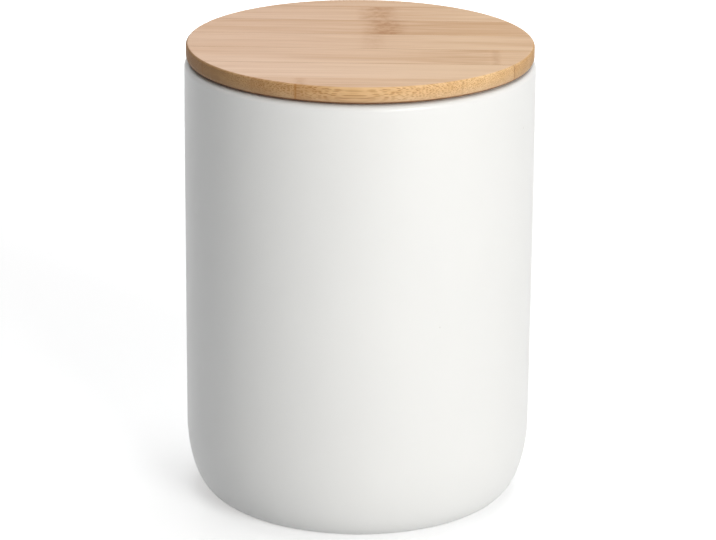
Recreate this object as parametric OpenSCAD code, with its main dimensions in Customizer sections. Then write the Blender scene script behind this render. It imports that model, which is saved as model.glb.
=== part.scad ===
// Storage jar: a glazed ceramic canister with a bamboo lid that plugs its mouth.
// The lid is two plies of bamboo strips, glued edge to edge: a board that covers the rim,
// and below it a plug, with a silicone seal in a groove round its side.
// +Z is up, and the origin is at the centre of the foot, on the table. The strips run along X.

/* [Jar] */
// Outside diameter of the jar's wall
jar_d = 120; // [90:1:170]
// Height of the jar, from the table to the rim
jar_h = 154; // [90:1:240]
// Thickness of the wall
wall_t = 5; // [3.5:0.25:8]
// Thickness of the floor, above the recess under it
floor_t = 6; // [4:0.5:10]
// Height over which the wall curves in to the foot
heel_h = 25; // [14:1:50]
// How far the wall curves in, on its way down to the foot
heel_in = 10; // [6:0.5:20]
// Height over which the inside curves in to the floor
bowl_h = 20; // [10:1:40]
// How far the inside curves in, on its way down to the floor
bowl_in = 11; // [6:0.5:20]
// Rounding of the rim's outer edge
rim_outer_r = 2; // [1:0.25:4]
// Rounding of the rim's inner edge
rim_inner_r = 1.4; // [0.5:0.1:2]

/* [Foot] */
// Width of the flat ring that the jar stands on
foot_w = 6; // [3:0.5:12]
// Depth of the recess inside the foot
foot_recess = 1.6; // [0.8:0.2:3]

/* [Lid board] */
// How far the board's edge stays inside the jar's wall
board_inset = 0.6; // [0:0.1:2]
// Thickness of the board
board_t = 6; // [4:0.5:12]
// Rounding of the board's upper edge
board_top_r = 0.9; // [0.3:0.1:1.5]
// Rounding of the board's lower edge
board_low_r = 2; // [0.5:0.1:2.4]

/* [Bamboo strips] */
// How many strips the board is glued from
board_strips = 7; // [4:1:10]
// What the round edge leaves of the front strip's width
front_strip_w = 11.2; // [5:0.2:16]
// What the round edge leaves of the back strip's width
back_strip_w = 11.2; // [5:0.2:16]

/* [Lid plug] */
// Thickness of the plug
plug_t = 8; // [7:0.5:14]
// Gap between the plug and the jar's mouth
plug_gap = 2; // [1.2:0.1:4]
// Rounding of the plug's lower edge
plug_low_r = 1; // [0.3:0.1:1.5]

/* [Seal] */
// Gap that the squeezed seal leaves between the board and the jar's rim
seat_gap = 0.3; // [0:0.1:0.6]
// Height of the seal's band, which lies in the plug's groove
seal_h = 4.4; // [3.6:0.2:5.2]
// Depth of the groove that holds the seal
groove_depth = 2.2; // [1:0.2:3.2]
// How far the seal's band stands out of the groove
band_proud = 0.4; // [0.2:0.1:0.8]
// Thickness of a lip at its root
lip_root_t = 1.2; // [0.8:0.1:1.4]
// Thickness of a lip at its tip
lip_tip_t = 0.6; // [0.4:0.1:0.8]
// Distance from one lip to the next
lip_pitch = 2.2; // [1.8:0.1:2.4]
// How far a lip's tip bends up where the mouth presses on it
lip_rise = 0.5; // [0:0.1:0.8]
// Clearance round the seal's lips, in the mouth
lip_clear = 0.3; // [0.1:0.05:0.5]
// Clearance between the seal's band and its groove
band_clear = 0.1; // [0.05:0.05:0.3]

/* [Hidden] */
$fn = 144;
HEEL_STEPS = 24;
LIPS = 2;
// How far a cut reaches past the piece that it cuts
SPARE = 2;
// The least flat land that roundings leave between them
LAND = 0.4;

jar_r = jar_d / 2;
mouth_r = jar_r - wall_t;
floor_z = foot_recess + floor_t;
foot_r = jar_r - heel_in;
// The rim's roundings are limited by the wall that they lie on
rim_outer = min(rim_outer_r, wall_t - 2 * LAND);
rim_inner = min(rim_inner_r, wall_t - rim_outer - LAND);

board_r = jar_r - board_inset;
board_low_z = jar_h + seat_gap;
board_top_z = board_low_z + board_t;

plug_r = mouth_r - plug_gap;
plug_top_z = board_low_z;
plug_low_z = plug_top_z - plug_t;

groove_h = seal_h + 2 * band_clear;
groove_r = plug_r - groove_depth;
groove_mid_z = (plug_low_z + plug_top_z) / 2;
groove_low_z = groove_mid_z - groove_h / 2;
groove_top_z = groove_mid_z + groove_h / 2;
// The plug's rounding is limited by the land below its groove
plug_low = min(plug_low_r, groove_low_z - plug_low_z - LAND / 2);

band_inner_r = groove_r + band_clear;
band_outer_r = plug_r + band_proud;
band_low_z = groove_mid_z - seal_h / 2;
band_top_z = groove_mid_z + seal_h / 2;
lip_r = mouth_r - lip_clear;

// The whole strips share what the outer two leave of the board, from the front joint to the back one
front_joint_y = front_strip_w - board_r;
back_joint_y = board_r - back_strip_w;
strip_w = (back_joint_y - front_joint_y) / (board_strips - 2);
board_joints = [for (k = [0 : board_strips - 2]) front_joint_y + k * strip_w];
// Each joint of the plug lies half-way between two of the board's, so that the plies share none
plug_strips = board_strips - 1;
plug_joints = [for (k = [0 : plug_strips - 2]) board_joints[k] + strip_w / 2];
// Edges of each ply's strips from front to back: past the rim, each joint, past the rim again
board_edges = concat([-board_r - SPARE], board_joints, [board_r + SPARE]);
plug_edges = concat([-plug_r - SPARE], plug_joints, [plug_r + SPARE]);

function board_strip_name(i) = str("lid_board_strip_", i);
function plug_strip_name(i) = str("lid_plug_strip_", i);

// Points of a quarter ellipse that starts level at the bottom and ends upright at the wall
function heel_curve(wall_r, bottom_z, inward, height) =
    [for (i = [0 : HEEL_STEPS])
        let (a = 90 * (1 - i / HEEL_STEPS))
        [wall_r - inward * (1 - cos(a)), bottom_z + height * (1 - sin(a))]];

function reversed(points) = [for (i = [len(points) - 1 : -1 : 0]) points[i]];

// What a rounding takes off a corner of an outline, where out and up say which way the corner points
module corner_waste(corner, out, up, radius) {
    centre = corner - radius * [out, up];
    reach = radius + SPARE;
    difference() {
        translate(centre + reach / 2 * [out, up]) square(reach, center = true);
        translate(centre) circle(radius);
    }
}

// The seal's outer side at one lip, from its upper root round its tip to its lower root
function lip_points(z) = [
    [band_outer_r, z + lip_root_t / 2],
    [lip_r, z + lip_rise + lip_tip_t / 2],
    [lip_r, z + lip_rise - lip_tip_t / 2],
    [band_outer_r, z - lip_root_t / 2]];

// Canister: outer wall and heel, rounded rim, inside with a bowl-shaped floor, recessed foot
module jar_body() {
    outside = concat(heel_curve(jar_r, 0, heel_in, heel_h), [[jar_r, jar_h]]);
    bowl = heel_curve(mouth_r, floor_z, bowl_in, bowl_h);
    inside = concat([[mouth_r, jar_h]], reversed(bowl), [[0, floor_z]]);
    underside = [
        [0, foot_recess],
        [foot_r - foot_w - foot_recess, foot_recess],
        [foot_r - foot_w, 0]];
    color("whitesmoke") rotate_extrude() difference() {
        polygon(concat(outside, inside, underside));
        corner_waste([jar_r, jar_h], 1, 1, rim_outer);
        corner_waste([mouth_r, jar_h], -1, 1, rim_inner);
    }
}

// Upper ply before it is cut into strips: a disc with eased edges
module board_blank() {
    rotate_extrude() difference() {
        translate([0, board_low_z]) square([board_r, board_t]);
        corner_waste([board_r, board_top_z], 1, 1, board_top_r);
        corner_waste([board_r, board_low_z], 1, -1, board_low_r);
    }
}

// Lower ply before it is cut into strips: a disc with the seal's groove round its side
module plug_blank() {
    rotate_extrude() difference() {
        translate([0, plug_low_z]) square([plug_r, plug_t]);
        corner_waste([plug_r, plug_low_z], 1, -1, plug_low);
        translate([groove_r, groove_low_z]) square([groove_depth + SPARE, groove_h]);
    }
}

// The part of a ply between two of its strip edges
module strip(edges, i, r, low_z, top_z) {
    intersection() {
        children();
        translate([-r - SPARE, edges[i - 1], low_z - SPARE])
            cube([2 * (r + SPARE), edges[i] - edges[i - 1], top_z - low_z + 2 * SPARE]);
    }
}

module board_strip(i) {
    color("burlywood") strip(board_edges, i, board_r, board_low_z, board_top_z) board_blank();
}

module plug_strip(i) {
    color("tan") strip(plug_edges, i, plug_r, plug_low_z, plug_top_z) plug_blank();
}

// Silicone ring: a flat band in the groove, with lips that press on the mouth
module seal_ring() {
    top_lip_z = groove_mid_z + lip_pitch * (LIPS - 1) / 2;
    color("gainsboro") rotate_extrude() polygon(concat(
        [[band_inner_r, band_low_z], [band_inner_r, band_top_z], [band_outer_r, band_top_z]],
        [for (k = [0 : LIPS - 1]) each lip_points(top_lip_z - k * lip_pitch)],
        [[band_outer_r, band_low_z]]));
}

jar_body();
seal_ring();
for (i = [1 : board_strips])
    board_strip(i);
for (i = [1 : plug_strips])
    plug_strip(i);
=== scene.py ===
"""Storage jar: a white glazed canister with a lid of glued bamboo strips, dressed round its CAD frame."""
import math

import bmesh
import bpy
from mathutils import Matrix, Vector


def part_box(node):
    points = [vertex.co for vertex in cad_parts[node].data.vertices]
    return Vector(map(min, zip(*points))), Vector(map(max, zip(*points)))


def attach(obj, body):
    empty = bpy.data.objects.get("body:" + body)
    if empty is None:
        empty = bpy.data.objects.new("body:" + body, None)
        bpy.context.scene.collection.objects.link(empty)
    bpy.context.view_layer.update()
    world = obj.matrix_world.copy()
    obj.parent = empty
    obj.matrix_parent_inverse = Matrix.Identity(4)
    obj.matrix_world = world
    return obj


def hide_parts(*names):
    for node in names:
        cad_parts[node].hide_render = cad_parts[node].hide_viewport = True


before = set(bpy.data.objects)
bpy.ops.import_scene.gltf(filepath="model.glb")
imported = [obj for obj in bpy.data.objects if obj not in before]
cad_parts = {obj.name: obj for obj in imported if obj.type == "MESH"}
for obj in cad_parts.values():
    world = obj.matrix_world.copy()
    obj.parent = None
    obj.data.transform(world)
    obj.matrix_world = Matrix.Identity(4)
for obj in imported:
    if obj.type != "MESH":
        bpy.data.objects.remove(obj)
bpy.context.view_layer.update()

MM = 0.001

# Places that the frame gives, in metres
jar_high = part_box("jar_body")[1]
board_low, board_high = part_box("lid_board_strip_4")
plug_low, plug_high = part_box("lid_plug_strip_3")
JAR_R = jar_high.x
RIM_Z = jar_high.z
BOARD_R = board_high.x
BOARD_LOW_Z = board_low.z
BOARD_TOP_Z = board_high.z
PLUG_R = plug_high.x
PLUG_LOW_Z = plug_low.z
STRIP_W = board_high.y - board_low.y

# Sizes of the jar that its box doesn't give
WALL = 5 * MM
FLOOR_Z = 7.6 * MM
HEEL_IN = 10 * MM
HEEL_H = 25 * MM
BOWL_IN = 11 * MM
BOWL_H = 20 * MM
RIM_OUTER_R = 2 * MM
RIM_INNER_R = 1.4 * MM
FOOT_W = 6 * MM
FOOT_RECESS = 1.6 * MM
MOUTH_R = JAR_R - WALL
FOOT_R = JAR_R - HEEL_IN
# The ring that is wiped bare of glaze lies a hair further out than the flat of the foot
BARE_SHIFT = 0.4 * MM
BARE_IN_R = FOOT_R - FOOT_W + BARE_SHIFT
BARE_OUT_R = FOOT_R + BARE_SHIFT

# Sizes of the lid and its seal
BOARD_TOP_R = 0.9 * MM
BOARD_LOW_R = 2 * MM
PLUG_LOW_R = 1 * MM
JOINT_CHAMFER = 0.06 * MM
# Corners this near to a joint count as on it, so that the saw leaves no slivers
SAW_SLACK = 0.005 * MM
# A strip that reaches this near to its ply's round edge has no joint there
EDGE_SLACK = 1 * MM
GROOVE_DEPTH = 2.2 * MM
GROOVE_H = 4.6 * MM
GROOVE_MID_Z = (PLUG_LOW_Z + BOARD_LOW_Z) / 2
SEAL_H = 4.4 * MM
BAND_CLEAR = 0.1 * MM
BAND_PROUD = 0.4 * MM
LIP_PITCH = 2.2 * MM
LIP_RISE = 0.5 * MM
LIP_ROOT = 1.2 * MM
LIP_TIP = 0.6 * MM
LIP_CLEAR = 0.3 * MM
# How far round a lip's tip is rounded, to either side, in degrees
LIP_SWEEP = 80

# Steps round each turned piece, and along each stretch of its outline
TURN_STEPS = 240
HEEL_STEPS = 64
WALL_STEPS = 40
RIM_OUTER_STEPS = 14
RIM_INNER_STEPS = 10
INSIDE_STEPS = 20
BOWL_STEPS = 40
BOARD_LOW_STEPS = 10
EDGE_STEPS = 8
SHARP_ANGLE = math.radians(32)


class Wire:
    """A value in a node tree, on which arithmetic makes Math nodes."""

    def __init__(self, tree, socket):
        self.tree = tree
        self.socket = socket

    def math(self, operation, *others, swap=False):
        made = self.tree.nodes.new("ShaderNodeMath")
        made.operation = operation
        values = [self, *others]
        if swap:
            values.reverse()
        for socket, value in zip(made.inputs, values):
            feed(self.tree, socket, value)
        return Wire(self.tree, made.outputs[0])

    def __add__(self, other):
        return self.math("ADD", other)

    def __sub__(self, other):
        return self.math("SUBTRACT", other)

    def __rsub__(self, other):
        return self.math("SUBTRACT", other, swap=True)

    def __mul__(self, other):
        return self.math("MULTIPLY", other)

    def __abs__(self):
        return self.math("ABSOLUTE")

    __radd__ = __add__
    __rmul__ = __mul__

    def ease(self, low, high):
        """0 below low, 1 above high, and a smooth step between."""
        made = add_node(self.tree, "ShaderNodeMapRange", interpolation_type="SMOOTHSTEP")
        for name, value in {"Value": self, "From Min": low, "From Max": high}.items():
            feed(self.tree, made.inputs[name], value)
        return Wire(self.tree, made.outputs["Result"])


def feed(tree, socket, value):
    """Links a wire or an output to a socket, or sets the socket's own value."""
    if isinstance(value, Wire):
        value = value.socket
    if isinstance(value, bpy.types.NodeSocket):
        tree.links.new(value, socket)
    else:
        socket.default_value = value


def add_node(tree, kind, inputs=None, **settings):
    made = tree.nodes.new(kind)
    for name, value in settings.items():
        setattr(made, name, value)
    for name, value in (inputs or {}).items():
        feed(tree, made.inputs[name], value)
    return made


def combine(tree, x, y, z):
    made = add_node(tree, "ShaderNodeCombineXYZ", {"X": x, "Y": y, "Z": z})
    return made.outputs["Vector"]


def split(tree, vector):
    made = add_node(tree, "ShaderNodeSeparateXYZ", {"Vector": vector})
    return [Wire(tree, made.outputs[axis]) for axis in "XYZ"]


def noise(tree, place, detail=2.0, roughness=0.5):
    made = add_node(tree, "ShaderNodeTexNoise",
                    {"Vector": place, "Scale": 1.0, "Detail": detail, "Roughness": roughness})
    return Wire(tree, made.outputs["Fac"])


def cells(tree, place, dimensions, randomness):
    """Distance to the nearest cell's middle, and a chance value of that cell."""
    made = add_node(tree, "ShaderNodeTexVoronoi", {"Vector": place}, voronoi_dimensions=dimensions)
    feed(tree, made.inputs["Scale"], 1.0)
    feed(tree, made.inputs["Randomness"], randomness)
    chance = split(tree, made.outputs["Color"])[0]
    return Wire(tree, made.outputs["Distance"]), chance


def mix_colour(tree, amount, below, above, blend="MIX"):
    made = add_node(tree, "ShaderNodeMix", data_type="RGBA", blend_type=blend)
    feed(tree, made.inputs["Factor"], amount)
    feed(tree, made.inputs[6], below)
    feed(tree, made.inputs[7], above)
    return made.outputs[2]


def millimetres(tree):
    """The surface's own place, in millimetres along each axis."""
    place = add_node(tree, "ShaderNodeTexCoord")
    return [wire * (1 / MM) for wire in split(tree, place.outputs["Object"])]


def stretched(tree, place, waves, shift=0.0):
    """Coordinates for a noise: a place times its waves per unit on each axis, shifted along the last."""
    x, y, z = [wire * wave for wire, wave in zip(place, waves)]
    return combine(tree, x, y, z + shift)


def new_group(name, inputs, outputs):
    """A shader node group with named sockets, and its wires in and its output node."""
    group = bpy.data.node_groups.new(name, "ShaderNodeTree")
    for label, value in inputs.items():
        socket = group.interface.new_socket(label, in_out="INPUT", socket_type="NodeSocketFloat")
        socket.default_value = value
    for label, kind in outputs.items():
        group.interface.new_socket(label, in_out="OUTPUT", socket_type=kind)
    into = group.nodes.new("NodeGroupInput")
    out = group.nodes.new("NodeGroupOutput")
    return group, {label: Wire(group, into.outputs[label]) for label in inputs}, out


def new_material(name, **shader_values):
    """A material with one Principled shader, whose plain values are set on its own sockets."""
    made = bpy.data.materials.new(name)
    made.use_nodes = True
    tree = made.node_tree
    shader = tree.nodes["Principled BSDF"]
    for label, value in shader_values.items():
        shader.inputs[label.replace("_", " ")].default_value = value
    return made, tree, shader


def emboss(tree, shader, height):
    """Relief from a height in millimetres."""
    bump = add_node(tree, "ShaderNodeBump", {"Height": height, "Strength": 1.0, "Distance": MM})
    feed(tree, shader.inputs["Normal"], bump.outputs["Normal"])


# Bamboo

PALE_TISSUE = (0.825, 0.595, 0.41, 1.0)
BROWN_TISSUE = (0.585, 0.337, 0.167, 1.0)
KNUCKLE_BROWN = (0.38, 0.155, 0.033, 1.0)
GLUE_BROWN = (0.38, 0.18, 0.07, 1.0)
# The boards drift from a pink tint at -X to a yellow one at +X: painted light, for the cool and warm light
# across the lid
PINK_LIGHT_TINT = (1.0, 1.0, 1.08, 1.0)
YELLOW_LIGHT_TINT = (0.98, 0.96, 0.91, 1.0)
# Sawn ends are yellower than the faces. Their browner tone at -X is painted shade
SHADED_END_TINT = (0.475, 0.36, 0.205, 1.0)
PALE_END_TINT = (1.06, 1.0, 0.765, 1.0)
# Towards the inside of the stem the ends are greyer and bluer: partly the stem's own colour, and partly a
# painted reflection of the white jar below the board's edge
INNER_AND_REFLECTION_TINT = (0.86, 0.88, 1.0, 1.0)
BUNDLE_TINT = (0.64, 0.49, 0.32, 1.0)
# Painted shade for the corner of the board's lower edge
PAINTED_SHADE_TINT = (0.3, 0.2, 0.14, 1.0)
# Stretches along X, in millimetres, over which the painted light on the faces and the painted shade on the
# ends change
FACE_LIGHT_DRIFT = (-40.0, 50.0)
END_SHADE_DRIFT = (-70.0, 20.0)
# Near +X the sawn ends get a little painted shade again
FAR_END = (42.0, 62.0)
FAR_END_SHADE = 0.4
# Depths below the stem's outside, in millimetres, over which each change comes in
# The stem's greyer inside and the painted reflection come in over these depths
INNER_AND_REFLECTION_DEPTH = (1.5, 5.0)
THINNING_DEPTH = (2.0, 5.5)
# The painted shade on the board's lower corner comes in over these depths
SHADE_DEPTH = (3.0, 4.0)
# Stretches to the side of a knuckle, in millimetres, that it swirls and stains
SWIRL_STRETCH = (1.0, 9.0)
STAIN_START = (-2.0, 4.0)
STAIN_END = (5.0, 38.0)
# How far fibres wander and swirl sideways, in millimetres
WANDER = 3.0
SWIRL = 2.0
# Waves of each noise per millimetre, along the strip, across it and through it
# Where the strip's seed takes the place of an axis, that number is 1
WANDER_WAVES = (0.018, 0.05, 1.0)
SWIRL_WAVES = (0.35, 0.35, 1.0)
TONE_WAVES = (0.014, 0.22, 0.2)
STREAK_WAVES = (0.035, 1.0, 0.8)
FIBRE_WAVES = (0.06, 5.0, 5.0)
RAGGED_WAVES = (0.12, 0.35, 1.0)
SMUDGE_WAVES = (0.35, 0.3, 1.0)
GLUE_WAVES = (0.04, 1.0, 0.3)
# Bundles of fibre per millimetre across the strip and through it
BUNDLES_ACROSS = 2.6
BUNDLES_THROUGH = 1.9
# Distance from a joint over which its glue fades, in millimetres
GLUE_WIDTH = (0.05, 0.4)
# Where a knuckle's crack runs past its middle, and how wide it is, in millimetres
CRACK_SHIFT = 1.0
CRACK_WIDTH = (0.1, 0.6)
# How squarely a surface faces along the strip to be its sawn end, or up or down to be its face
END_FACING = (0.2, 0.7)
FACE_FACING = (0.8, 0.99)
# How squarely it faces down to get the painted shade, and to be the flat underside that is left without it
SHADE_FACING = (0.4, 0.75)
UNDERSIDE_FACING = (0.98, 0.998)
# How much each thing browns or shades the bamboo
DRIFT_PER_MM = 0.02
STREAK_SHARE = 0.75
FIBRE_SHADE = 0.26
# The brown share that is all pale and the one that is all brown
BROWN_RANGE = (-0.2, 1.2)
# Heights of the fibres, and depths of the bundles in faces and ends, in millimetres
FIBRE_RELIEF = 0.03
FACE_PITS = 0.01
END_PITS = 0.04
BAMBOO_ROUGHNESS = 0.52


def bamboo_grain_group():
    """Solid bamboo: bundles of fibre along X in paler tissue, so faces show streaks and ends show dots,
    with painted light and shade on the faces, the ends and the lower edge.
    """
    inputs = {"Seed": 0.0, "Middle": 0.0, "Half Width": 10.0, "Outer Z": 0.0, "Brown Share": 0.5,
              "Brown Drift": 0.0, "Knuckle At": 0.0, "Knuckle Reach": 8.0, "Knuckle Depth": 0.0,
              "Stain": 0.26, "Glue": 1.0}
    outputs = {"Colour": "NodeSocketColor", "Roughness": "NodeSocketFloat", "Height": "NodeSocketFloat"}
    group, into, out = new_group("Bamboo grain", inputs, outputs)
    x, y, z = millimetres(group)
    seed = into["Seed"]
    # Which way the surface faces tells the strip's faces, sides and sawn ends apart
    facing = split(group, add_node(group, "ShaderNodeTexCoord").outputs["Normal"])
    facing_x = facing[0]
    facing_z = facing[2]
    end_grain = abs(facing_x).ease(*END_FACING)
    side = 1.0 - abs(facing_z).ease(*FACE_FACING)
    depth = abs(z - into["Outer Z"])

    # Fibres wander a little sideways along the strip, and swirl at a knuckle
    past = x - into["Knuckle At"]
    near_knuckle = 1.0 - abs(past).ease(*SWIRL_STRETCH)
    swirl = noise(group, stretched(group, (x, y, seed), SWIRL_WAVES), 1.0) - 0.5
    wander = noise(group, stretched(group, (x, y, seed), WANDER_WAVES), 1.0) - 0.5
    across = y + wander * WANDER + swirl * near_knuckle * into["Knuckle Depth"] * SWIRL

    # Broad tones run along the strip, with streaks and fine fibres within them
    grain = (x, across, z)
    tone = noise(group, stretched(group, grain, TONE_WAVES, seed * 3.1), 1.0)
    streak = noise(group, stretched(group, grain, STREAK_WAVES, seed * 5.7), 3.0, 0.6)
    fibre = noise(group, stretched(group, grain, FIBRE_WAVES, seed), 2.0, 0.6)
    drift = into["Brown Drift"] * x * DRIFT_PER_MM
    brown = into["Brown Share"] + drift + (tone - 0.5) + (streak - 0.5) * STREAK_SHARE
    colour = mix_colour(group, brown.ease(*BROWN_RANGE), PALE_TISSUE, BROWN_TISSUE)

    # Faces and sawn ends have tints of their own, with painted light across the faces and painted shade on
    # the ends towards -X and near +X, and fibres shade both
    face_light_tint = mix_colour(group, x.ease(*FACE_LIGHT_DRIFT), PINK_LIGHT_TINT, YELLOW_LIGHT_TINT)
    end_tint_and_shade = mix_colour(group, x.ease(*END_SHADE_DRIFT), SHADED_END_TINT, PALE_END_TINT)
    end_tint_and_shade = mix_colour(group, x.ease(*FAR_END) * FAR_END_SHADE, end_tint_and_shade, SHADED_END_TINT)
    end_tint_and_shade = mix_colour(group, depth.ease(*INNER_AND_REFLECTION_DEPTH), end_tint_and_shade, INNER_AND_REFLECTION_TINT, "MULTIPLY")
    colour = mix_colour(group, 1.0, colour, mix_colour(group, side, face_light_tint, end_tint_and_shade), "MULTIPLY")
    shade = 1.0 + (fibre - 0.5) * FIBRE_SHADE
    colour = mix_colour(group, 1.0, colour, combine(group, shade, shade, shade), "MULTIPLY")

    # Sawn ends show the bundles as dots, which crowd towards the outside of the stem
    crowd = 1.0 - depth.ease(*THINNING_DEPTH) * 0.65
    bundle_place = combine(group, across * BUNDLES_ACROSS + seed, z * BUNDLES_THROUGH, 0.0)
    bundle_gap, bundle_chance = cells(group, bundle_place, "2D", 0.85)
    bundle = (1.0 - bundle_gap.ease(0.2, 0.45)) * crowd * (bundle_chance * 0.6 + 0.4)
    colour = mix_colour(group, bundle * (side * 0.9 + 0.06), colour, BUNDLE_TINT, "MULTIPLY")

    # A knuckle is a smudged brown band across the strip. It stains the strip to one side of it, and shows
    # as a crack in the strip's sides
    beside = (x, across, seed)
    ragged = noise(group, stretched(group, beside, RAGGED_WAVES), 2.0, 0.6) - 0.5
    smudge = noise(group, stretched(group, beside, SMUDGE_WAVES, 9.0), 3.0, 0.6).ease(0.3, 0.7)
    reach = into["Knuckle Reach"]
    band = 1.0 - abs(past + ragged * reach * 0.6).ease(reach * 0.1, reach * 1.1)
    crack = (1.0 - abs(past + ragged + CRACK_SHIFT).ease(*CRACK_WIDTH)) * side
    along = past * into["Stain"].math("SIGN")
    stain = (1.0 - along.ease(*STAIN_END)) * along.ease(*STAIN_START) * streak.ease(0.3, 0.7)
    dark = band * (smudge * 0.4 + 0.26) + stain * abs(into["Stain"]) + crack
    colour = mix_colour(group, dark * into["Knuckle Depth"], colour, KNUCKLE_BROWN)

    # Painted shade darkens the corner of the board's lower edge, where the lid meets the rim
    down = 0.0 - facing_z
    shaded_corner = down.ease(*SHADE_FACING) * (1.0 - down.ease(*UNDERSIDE_FACING))
    colour = mix_colour(group, shaded_corner * depth.ease(*SHADE_DEPTH), colour, PAINTED_SHADE_TINT, "MULTIPLY")

    # Glue shows as a brown hairline along some stretches of a joint
    from_joint = into["Half Width"] - abs(y - into["Middle"])
    glued = noise(group, stretched(group, (x, seed, z), GLUE_WAVES)) + side * 0.12
    glue = (1.0 - from_joint.ease(*GLUE_WIDTH)) * glued.ease(0.42, 0.62)
    glue = glue * (side * 0.3 + 0.55) * into["Glue"]
    colour = mix_colour(group, glue, colour, GLUE_BROWN)

    feed(group, out.inputs["Colour"], colour)
    pits = bundle * (end_grain * END_PITS + FACE_PITS)
    feed(group, out.inputs["Roughness"], (fibre - 0.5) * 0.16 + end_grain * 0.1 + BAMBOO_ROUGHNESS)
    feed(group, out.inputs["Height"], (fibre - 0.5) * FIBRE_RELIEF - pits)
    return group


def bamboo_strip(name, grain, values):
    """One strip's bamboo: the shared grain with this strip's own tones and knuckle."""
    made, tree, shader = new_material(name, Specular_IOR_Level=0.3)
    own = add_node(tree, "ShaderNodeGroup", node_tree=grain)
    for label, value in values.items():
        own.inputs[label].default_value = value
    feed(tree, shader.inputs["Base Color"], own.outputs["Colour"])
    feed(tree, shader.inputs["Roughness"], own.outputs["Roughness"])
    emboss(tree, shader, own.outputs["Height"])
    return made


# Ceramic and silicone

GLAZE_DARK = (0.85, 0.848, 0.835, 1.0)
GLAZE_PALE = (0.88, 0.876, 0.86, 1.0)
PINHOLE_GREY = (0.5, 0.47, 0.43, 1.0)
CLAY_PALE = (0.74, 0.69, 0.61, 1.0)
CLAY_WORN = (0.64, 0.59, 0.52, 1.0)
SILICONE_CLEAN = (0.8, 0.8, 0.78, 1.0)
SILICONE_DUSTY = (0.72, 0.72, 0.7, 1.0)
# Waves of each noise per millimetre, along X, Y and Z
CLOUD_WAVES = (0.03, 0.03, 0.02)
PEEL_WAVES = (0.3, 0.3, 0.3)
PINHOLE_WAVES = (0.07, 0.07, 0.07)
GRIT_WAVES = (3.0, 3.0, 3.0)
WORN_WAVES = (0.15, 0.15, 1.0)
DUST_WAVES = (1.2, 1.2, 1.2)
# Share of the gap between pinholes that one takes up
PINHOLE_SIZE = (0.012, 0.03)
# Heights and depths in millimetres
PEEL_RELIEF = 0.02
PINHOLE_DEPTH = 0.05
GRIT_RELIEF = 0.06
DUST_RELIEF = 0.01
GLAZE_ROUGHNESS = 0.34
CLAY_ROUGHNESS = 0.8
SILICONE_ROUGHNESS = 0.38


def satin_white_glaze():
    """Satin white glaze: faint clouding, a slight orange peel and a few pinholes."""
    made, tree, shader = new_material("satin_white_glaze", IOR=1.5)
    place = millimetres(tree)
    cloud = noise(tree, stretched(tree, place, CLOUD_WAVES))
    peel = noise(tree, stretched(tree, place, PEEL_WAVES))
    hole_gap, hole_chance = cells(tree, stretched(tree, place, PINHOLE_WAVES), "3D", 1.0)
    pinhole = (1.0 - hole_gap.ease(*PINHOLE_SIZE)) * hole_chance.ease(0.4, 0.6)
    colour = mix_colour(tree, cloud, GLAZE_DARK, GLAZE_PALE)
    colour = mix_colour(tree, pinhole * 0.35, colour, PINHOLE_GREY)
    feed(tree, shader.inputs["Base Color"], colour)
    feed(tree, shader.inputs["Roughness"], (peel - 0.5) * 0.08 + cloud * 0.06 + GLAZE_ROUGHNESS)
    emboss(tree, shader, peel * PEEL_RELIEF - pinhole * PINHOLE_DEPTH)
    return made


def bare_clay():
    """The foot ring, wiped clean of glaze and fired bare."""
    made, tree, shader = new_material("bare_clay", IOR=1.45)
    place = millimetres(tree)
    grit = noise(tree, stretched(tree, place, GRIT_WAVES), 3.0, 0.7)
    worn = noise(tree, stretched(tree, place, WORN_WAVES))
    colour = mix_colour(tree, worn, CLAY_PALE, CLAY_WORN)
    feed(tree, shader.inputs["Base Color"], colour)
    feed(tree, shader.inputs["Roughness"], grit * 0.12 + CLAY_ROUGHNESS)
    emboss(tree, shader, grit * GRIT_RELIEF)
    return made


def milky_silicone():
    """Moulded silicone, a little see-through, with dust in its matt skin."""
    made, tree, shader = new_material("milky_silicone", IOR=1.41, Subsurface_Weight=0.35,
                                      Subsurface_Scale=2 * MM)
    place = millimetres(tree)
    dust = noise(tree, stretched(tree, place, DUST_WAVES), 3.0, 0.65)
    colour = mix_colour(tree, dust, SILICONE_CLEAN, SILICONE_DUSTY)
    feed(tree, shader.inputs["Base Color"], colour)
    feed(tree, shader.inputs["Roughness"], dust * 0.2 + SILICONE_ROUGHNESS)
    emboss(tree, shader, dust * DUST_RELIEF)
    return made


# Shapes


def arc(centre_r, centre_z, radius, start, end, steps):
    """Points of an arc in the R-Z plane, with its angles in degrees."""
    angles = [math.radians(start + (end - start) * i / steps) for i in range(steps + 1)]
    return [(centre_r + radius * math.cos(a), centre_z + radius * math.sin(a)) for a in angles]


def heel_curve(wall_r, bottom_z, inward, height, steps):
    """A quarter ellipse that starts level at the bottom and ends upright at the wall."""
    angles = [math.pi / 2 * (1 - i / steps) for i in range(steps + 1)]
    return [(wall_r - inward * (1 - math.cos(a)), bottom_z + height * (1 - math.sin(a))) for a in angles]


def even_line(start, end, steps):
    """Points between two ends, without the ends."""
    return [tuple(a + (b - a) * i / steps for a, b in zip(start, end)) for i in range(1, steps)]


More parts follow.
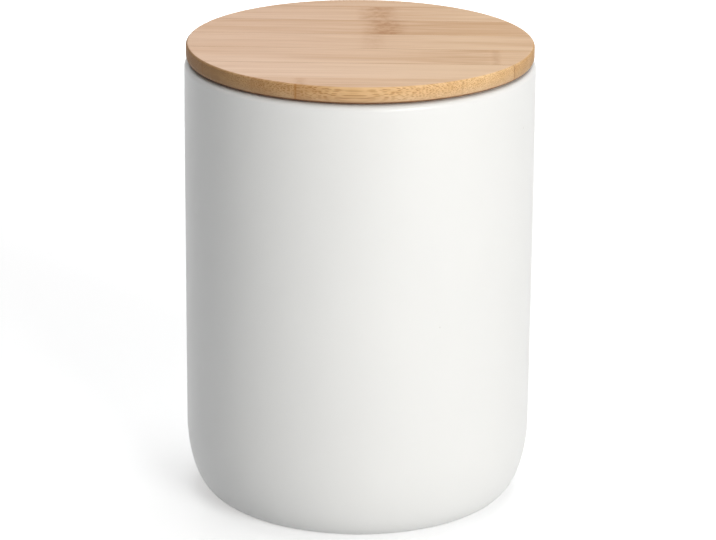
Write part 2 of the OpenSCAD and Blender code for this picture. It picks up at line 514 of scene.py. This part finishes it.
def turned(outline, ring=False):
    """A mesh turned about Z: a solid with a flat cap at each end of its outline, or a closed ring."""
    mesh = bmesh.new()
    angles = [2 * math.pi * i / TURN_STEPS for i in range(TURN_STEPS)]
    rings = [[mesh.verts.new((r * math.cos(a), r * math.sin(a), z)) for a in angles] for r, z in outline]
    pairs = list(zip(rings, rings[1:]))
    if ring:
        pairs.append((rings[-1], rings[0]))
    else:
        mesh.faces.new(rings[0])
        mesh.faces.new(rings[-1])
    for low, high in pairs:
        for i in range(TURN_STEPS):
            j = (i + 1) % TURN_STEPS
            mesh.faces.new((low[i], low[j], high[j], high[i]))
    bmesh.ops.recalc_face_normals(mesh, faces=mesh.faces)
    return mesh


def new_piece(name, mesh, materials):
    """Makes an object of a mesh, smooth except along its sharp edges."""
    for face in mesh.faces:
        face.smooth = True
    for edge in mesh.edges:
        edge.smooth = len(edge.link_faces) == 2 and edge.calc_face_angle() < SHARP_ANGLE
    data = bpy.data.meshes.new(name)
    mesh.to_mesh(data)
    mesh.free()
    for material in materials:
        data.materials.append(material)
    made = bpy.data.objects.new(name, data)
    bpy.context.scene.collection.objects.link(made)
    return made


# The jar

# Points of the foot in millimetres: how far out from the bare ring's inner edge, and how high
RECESS_SIDE = (-0.5, 0.3)
GLAZE_BEAD_IN = ((-0.2, 0.16), (0.0, 0.2), (0.05, 0.32))
BARE_RING_IN = ((0.25, 0.08), (0.55, 0.0))
# The same from the bare ring's outer edge
BARE_RING_OUT = ((-0.5, 0.0), (-0.2, 0.08))
GLAZE_BEAD_OUT = ((0.0, 0.36), (0.05, 0.22), (0.25, 0.14))
# The bare ring's faces all lie below this
BARE_TOP_Z = 0.35 * MM
# The recess rounds over by this at its edge
RECESS_EASE = 0.2 * MM
# The heel's curve starts this far out from the bare ring
HEEL_START = 0.7 * MM
# A ring this far inside a curve of the jar keeps the flat next to it flat in its shading
WIDE_GUARD = 2 * MM
# How far the cast wall strays in millimetres: as an oval, in three lobes, and in waves up its height
OVAL_STRAY = 0.09
LOBED_STRAY = 0.05
WAVY_STRAY = 0.035
# Climb for each radian that the three lobes twist, and for each radian of the waves
LOBE_TWIST = 40 * MM
WAVE_HEIGHT = 13 * MM
# The wall is true at its heel and its rim, and strays fully only this far from them
TRUE_HEEL_Z = 12 * MM
HEEL_FADE = 25 * MM
TRUE_RIM_H = 6 * MM
RIM_FADE = 30 * MM


def from_edge(edge_r, points):
    """Points of the foot, given in millimetres from an edge of the bare ring."""
    return [(edge_r + out * MM, up * MM) for out, up in points]


def jar_outline():
    """From the middle of the underside, round the foot, heel, rim and bowl, to the middle of the floor."""
    recess_r = BARE_IN_R - FOOT_RECESS
    recess = [(recess_r - 2 * WIDE_GUARD, FOOT_RECESS), (recess_r - WIDE_GUARD, FOOT_RECESS),
              (recess_r, FOOT_RECESS - RECESS_EASE)]
    foot = from_edge(BARE_IN_R, (RECESS_SIDE, *GLAZE_BEAD_IN, *BARE_RING_IN))
    foot += from_edge(BARE_OUT_R, BARE_RING_OUT + GLAZE_BEAD_OUT)
    whole_heel = heel_curve(JAR_R, 0, HEEL_IN, HEEL_H, HEEL_STEPS)
    heel = [point for point in whole_heel if point[0] > BARE_OUT_R + HEEL_START]
    rim = arc(JAR_R - RIM_OUTER_R, RIM_Z - RIM_OUTER_R, RIM_OUTER_R, 0, 90, RIM_OUTER_STEPS)
    rim += arc(MOUTH_R + RIM_INNER_R, RIM_Z - RIM_INNER_R, RIM_INNER_R, 90, 180, RIM_INNER_STEPS)
    bowl = heel_curve(MOUTH_R, FLOOR_Z, BOWL_IN, BOWL_H, BOWL_STEPS)[::-1]
    wall = even_line(heel[-1], rim[0], WALL_STEPS)
    inside = even_line(rim[-1], bowl[0], INSIDE_STEPS)
    floor_edge = (bowl[-1][0] - WIDE_GUARD, FLOOR_Z)
    return recess + foot + heel + wall + rim + inside + bowl + [floor_edge]


def jar_unevenness(angle, z):
    """How far the cast wall strays outwards from a true turned one, each form from an angle of its own."""
    from_heel = max(0.0, (z - TRUE_HEEL_Z) / HEEL_FADE)
    from_rim = max(0.0, (RIM_Z - TRUE_RIM_H - z) / RIM_FADE)
    oval = OVAL_STRAY * math.cos(2 * angle + 0.6)
    lobes = LOBED_STRAY * math.cos(3 * angle - 1.1 + z / LOBE_TWIST)
    waves = WAVY_STRAY * math.sin(z / WAVE_HEIGHT + 0.4) * math.cos(angle - 0.7)
    return min(1.0, from_heel, from_rim) * (oval + lobes + waves) * MM


def make_jar(glaze, clay):
    """The canister, glazed all over apart from the ring that it stands on."""
    mesh = turned(jar_outline())
    for face in mesh.faces:
        middle = face.calc_center_median()
        r = math.hypot(middle.x, middle.y)
        face.material_index = int(middle.z < BARE_TOP_Z and BARE_IN_R < r < BARE_OUT_R)
    for vertex in mesh.verts:
        r = math.hypot(vertex.co.x, vertex.co.y)
        if r > MOUTH_R + WALL / 2:
            out = jar_unevenness(math.atan2(vertex.co.y, vertex.co.x), vertex.co.z)
            vertex.co.x *= 1 + out / r
            vertex.co.y *= 1 + out / r
    jar = new_piece("jar", mesh, [glaze, clay])
    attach(jar, "jar")
    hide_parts("jar_body")


# The lid

# A ring this far inside a rounding of the lid keeps the flat next to it flat in its shading
FLAT_GUARD = 0.4 * MM


def board_outline():
    """The upper ply's disc, from its underside round its edge to its top."""
    low = arc(BOARD_R - BOARD_LOW_R, BOARD_LOW_Z + BOARD_LOW_R, BOARD_LOW_R, -90, 0, BOARD_LOW_STEPS)
    top = arc(BOARD_R - BOARD_TOP_R, BOARD_TOP_Z - BOARD_TOP_R, BOARD_TOP_R, 0, 90, EDGE_STEPS)
    return [(low[0][0] - FLAT_GUARD, BOARD_LOW_Z), *low, *top, (top[-1][0] - FLAT_GUARD, BOARD_TOP_Z)]


def plug_outline():
    """The lower ply's disc, with the seal's groove in its side."""
    groove_r = PLUG_R - GROOVE_DEPTH
    groove_low = GROOVE_MID_Z - GROOVE_H / 2
    groove_top = GROOVE_MID_Z + GROOVE_H / 2
    low = arc(PLUG_R - PLUG_LOW_R, PLUG_LOW_Z + PLUG_LOW_R, PLUG_LOW_R, -90, 0, EDGE_STEPS)
    groove = [(PLUG_R, groove_low), (groove_r, groove_low), (groove_r, groove_top), (PLUG_R, groove_top)]
    return [(low[0][0] - FLAT_GUARD, PLUG_LOW_Z), *low, *groove, (PLUG_R, BOARD_LOW_Z)]


def saw(mesh, y, keep_back):
    """Saws a disc along a glue joint, keeps one side, and eases the sawn edges by a hair."""
    everything = mesh.verts[:] + mesh.edges[:] + mesh.faces[:]
    cut = bmesh.ops.bisect_plane(mesh, geom=everything, dist=SAW_SLACK, plane_co=(0, y, 0),
                                 plane_no=(0, 1, 0), clear_inner=keep_back, clear_outer=not keep_back)
    edges = [part for part in cut["geom_cut"] if isinstance(part, bmesh.types.BMEdge)]
    face = bmesh.ops.contextual_create(mesh, geom=edges)["faces"][0]
    bmesh.ops.bevel(mesh, geom=face.edges[:], offset=JOINT_CHAMFER, segments=1, affect="EDGES",
                    clamp_overlap=True)


def make_strip(node, name, outline, radius, material):
    """One bamboo strip: the part of a ply's disc between the joints that its CAD node has."""
    low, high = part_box(node)
    mesh = turned(outline)
    if low.y > -radius + EDGE_SLACK:
        saw(mesh, low.y, True)
    if high.y < radius - EDGE_SLACK:
        saw(mesh, high.y, False)
    bmesh.ops.recalc_face_normals(mesh, faces=mesh.faces)
    strip = new_piece(name, mesh, [material])
    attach(strip, "lid")
    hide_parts(node)


# Each strip's grain, from the front to the back, in the order of the names below. The knuckle's place and
# reach are in millimetres, and its stain runs towards +X, or towards -X if it is less than 0
GRAIN_INPUTS = ("Brown Share", "Brown Drift", "Knuckle At", "Knuckle Reach", "Knuckle Depth", "Stain",
                "Glue")
BOARD_GRAIN = (
    (0.46, -0.05, -18.8, 3.0, 0.5, 0.26, 0.3),
    (0.15, -0.03, 90.0, 8.0, 0.0, 0.26, 0.3),
    (0.39, 0.05, 46.0, 2.0, 0.5, -0.6, 1.5),
    (0.37, 0.02, 4.2, 5.5, 0.34, 0.26, 1.0),
    (0.58, 0.10, 7.7, 8.5, 1.1, 0.26, 1.0),
    (0.44, -0.08, 5.2, 8.0, 0.9, 0.26, 1.0),
    (0.50, -0.15, -90.0, 8.0, 0.0, 0.26, 1.0),
)
PLUG_GRAIN = (
    (0.55, 0.05, -31.0, 4.0, 0.6, 0.26, 1.0),
    (0.30, -0.10, 22.0, 5.0, 0.4, -0.26, 1.0),
    (0.45, 0.10, -8.0, 6.0, 0.7, 0.26, 1.0),
    (0.25, 0.05, 37.0, 5.0, 0.5, -0.26, 1.0),
    (0.60, -0.05, -40.0, 3.0, 0.3, 0.26, 1.0),
    (0.40, 0.08, 12.0, 6.0, 0.5, 0.26, 1.0),
)
# Seeds step on from strip to strip, and by more from ply to ply
SEED_STEP = 3.7
PLY_STEP = 10


def strip_middle(low, high, radius):
    """Where a strip's middle lies across the lid, before the round edge took some of an outer strip."""
    if low.y < -radius + EDGE_SLACK:
        return high.y - STRIP_W / 2
    if high.y > radius - EDGE_SLACK:
        return low.y + STRIP_W / 2
    return (low.y + high.y) / 2


def make_ply(grain, ply, strips, outline, radius, outer_z):
    """The strips of one ply of the lid, each with its own bamboo."""
    for i, values in enumerate(strips, 1):
        node = f"lid_{ply}_strip_{i}"
        low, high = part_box(node)
        own = dict(zip(GRAIN_INPUTS, values))
        own["Seed"] = SEED_STEP * i + SEED_STEP * PLY_STEP * len(strips)
        own["Middle"] = strip_middle(low, high, radius) / MM
        own["Half Width"] = STRIP_W / 2 / MM
        own["Outer Z"] = outer_z / MM
        material = bamboo_strip(f"bamboo_{ply}_{i}", grain, own)
        make_strip(node, f"{ply}_strip_{i}", outline, radius, material)


def make_lid(grain):
    """The lid's two plies. The stem's outside is the top of the board and the underside of the plug."""
    make_ply(grain, "board", BOARD_GRAIN, board_outline(), BOARD_R, BOARD_TOP_Z)
    make_ply(grain, "plug", PLUG_GRAIN, plug_outline(), PLUG_R, PLUG_LOW_Z)


def seal_outline():
    """The silicone band and its two lips, as one closed outline."""
    inner = PLUG_R - GROOVE_DEPTH + BAND_CLEAR
    outer = PLUG_R + BAND_PROUD
    tip_r = MOUTH_R - LIP_CLEAR
    points = [(inner, GROOVE_MID_Z - SEAL_H / 2), (outer, GROOVE_MID_Z - SEAL_H / 2)]
    for side in (-1, 1):
        z = GROOVE_MID_Z + side * LIP_PITCH / 2
        points.append((outer, z - LIP_ROOT / 2))
        points += arc(tip_r - LIP_TIP / 2, z + LIP_RISE, LIP_TIP / 2, -LIP_SWEEP, LIP_SWEEP, EDGE_STEPS)
        points.append((outer, z + LIP_ROOT / 2))
    return points + [(outer, GROOVE_MID_Z + SEAL_H / 2), (inner, GROOVE_MID_Z + SEAL_H / 2)]


def make_seal(silicone):
    """The silicone ring in the plug's groove."""
    seal = new_piece("seal", turned(seal_outline(), ring=True), [silicone])
    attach(seal, "seal")
    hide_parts("seal_ring")


# The stage, the light and the camera

# The camera that fits the photograph's outline, with its image and focal length in pixels
IMAGE_W = 716
SENSOR_W = 36.0
FOCAL_PX = 3339.3
PITCH = math.radians(18.534)
AZIMUTH = math.radians(1.24)
ROLL = math.radians(0.439)
DISTANCE = 1163.4 * MM
LOOK_AT = Vector((-0.19, 0, 78.12)) * MM
FLOOR_HALF = 4.0
FLOOR_CELLS = 8
FLOOR_DARK = (0.685, 0.70, 0.72, 1.0)
FLOOR_PALE = (0.705, 0.72, 0.74, 1.0)
FLOOR_WAVES = (0.02, 0.02, 1.0)
# Distances from the jar, in millimetres, over which the floor turns all white
FAR_OFF = (400.0, 1200.0)
FLOOR_GLOW = 0.48
# The floor is a little blue, and its glow makes up for that
GLOW_COLOUR = (1.0, 0.985, 0.965, 1.0)
STUDIO_GLOW = 0.17
KEY_COLOUR = (1.0, 0.99, 0.958)
TOP_COLOUR = (1.0, 0.995, 0.985)
FILL_COLOUR = (1.0, 1.0, 1.0)


def seen_directly(tree):
    """1 for camera, glossy and transmission rays, which see the white background as it is."""
    path = add_node(tree, "ShaderNodeLightPath")
    seen = Wire(tree, path.outputs["Is Camera Ray"])
    for ray in ("Is Glossy Ray", "Is Transmission Ray"):
        seen = seen.math("MAXIMUM", Wire(tree, path.outputs[ray]))
    return seen


def make_floor():
    """A plain pale floor that keeps the shadow, and is lifted to white where it is seen."""
    made, tree, shader = new_material("white_floor", Roughness=0.9, Specular_IOR_Level=0.1)
    x, y, z = millimetres(tree)
    cloud = noise(tree, stretched(tree, (x, y, z), FLOOR_WAVES))
    feed(tree, shader.inputs["Base Color"], mix_colour(tree, cloud, FLOOR_DARK, FLOOR_PALE))
    far_off = (x * x + y * y).math("SQRT").ease(*FAR_OFF)
    lift = seen_directly(tree) * (far_off * (1.0 - FLOOR_GLOW) + FLOOR_GLOW)
    glow = add_node(tree, "ShaderNodeEmission", {"Color": GLOW_COLOUR, "Strength": lift})
    both = add_node(tree, "ShaderNodeAddShader")
    tree.links.new(shader.outputs[0], both.inputs[0])
    tree.links.new(glow.outputs[0], both.inputs[1])
    tree.links.new(both.outputs[0], tree.nodes["Material Output"].inputs["Surface"])
    mesh = bmesh.new()
    bmesh.ops.create_grid(mesh, x_segments=FLOOR_CELLS, y_segments=FLOOR_CELLS, size=FLOOR_HALF)
    floor = new_piece("floor", mesh, [made])


def make_world():
    """A studio that is white where it is seen, and gives the object only a little light."""
    world = bpy.data.worlds.new("white_studio")
    world.use_nodes = True
    bpy.context.scene.world = world
    tree = world.node_tree
    back = tree.nodes["Background"]
    back.inputs["Color"].default_value = (1.0, 1.0, 1.0, 1.0)
    feed(tree, back.inputs["Strength"], seen_directly(tree) * (1.0 - STUDIO_GLOW) + STUDIO_GLOW)


def add_softbox(name, azimuth, elevation, distance, size, power, colour):
    """A square lamp, aimed at the middle of the jar. Azimuth is in degrees, from the front to the right."""
    data = bpy.data.lights.new(name, "AREA")
    data.shape = "SQUARE"
    data.size = size
    data.energy = power
    data.color = colour
    lamp = bpy.data.objects.new(name, data)
    turn = math.radians(azimuth)
    rise = math.radians(elevation)
    away = Vector((math.sin(turn) * math.cos(rise), -math.cos(turn) * math.cos(rise), math.sin(rise)))
    lamp.location = Vector((0, 0, RIM_Z / 2)) + away * distance
    lamp.rotation_euler = away.to_track_quat("Z", "Y").to_euler()
    bpy.context.scene.collection.objects.link(lamp)


def make_camera():
    """The photograph's view: a long lens that looks down at the jar, rolled by a hair."""
    turn = Matrix.Rotation(AZIMUTH, 3, "Z")
    back = turn @ Vector((0, -math.cos(PITCH), math.sin(PITCH)))
    level_up = turn @ Vector((0, math.sin(PITCH), math.cos(PITCH)))
    level_right = turn @ Vector((1, 0, 0))
    right = level_right * math.cos(ROLL) + level_up * math.sin(ROLL)
    up = level_up * math.cos(ROLL) - level_right * math.sin(ROLL)
    data = bpy.data.cameras.new("photo_camera")
    data.sensor_width = SENSOR_W
    data.lens = SENSOR_W * FOCAL_PX / IMAGE_W
    camera = bpy.data.objects.new("photo_camera", data)
    facing = Matrix((right, up, back)).transposed().to_4x4()
    camera.matrix_world = Matrix.Translation(LOOK_AT + back * DISTANCE) @ facing
    bpy.context.scene.collection.objects.link(camera)
    bpy.context.scene.camera = camera


bpy.context.scene.view_settings.view_transform = "Standard"
make_camera()
make_world()
make_floor()
add_softbox("key", azimuth=33, elevation=20, distance=1.6, size=0.7, power=16.7, colour=KEY_COLOUR)
add_softbox("top", azimuth=165, elevation=78, distance=2.4, size=1.5, power=32.0, colour=TOP_COLOUR)
# A small lamp behind the jar and lower than its rim, which lights the back and not the lid
add_softbox("low_fill", azimuth=186, elevation=0, distance=1.0, size=0.14, power=2.6, colour=FILL_COLOUR)

make_jar(satin_white_glaze(), bare_clay())
make_lid(bamboo_grain_group())
make_seal(milky_silicone())
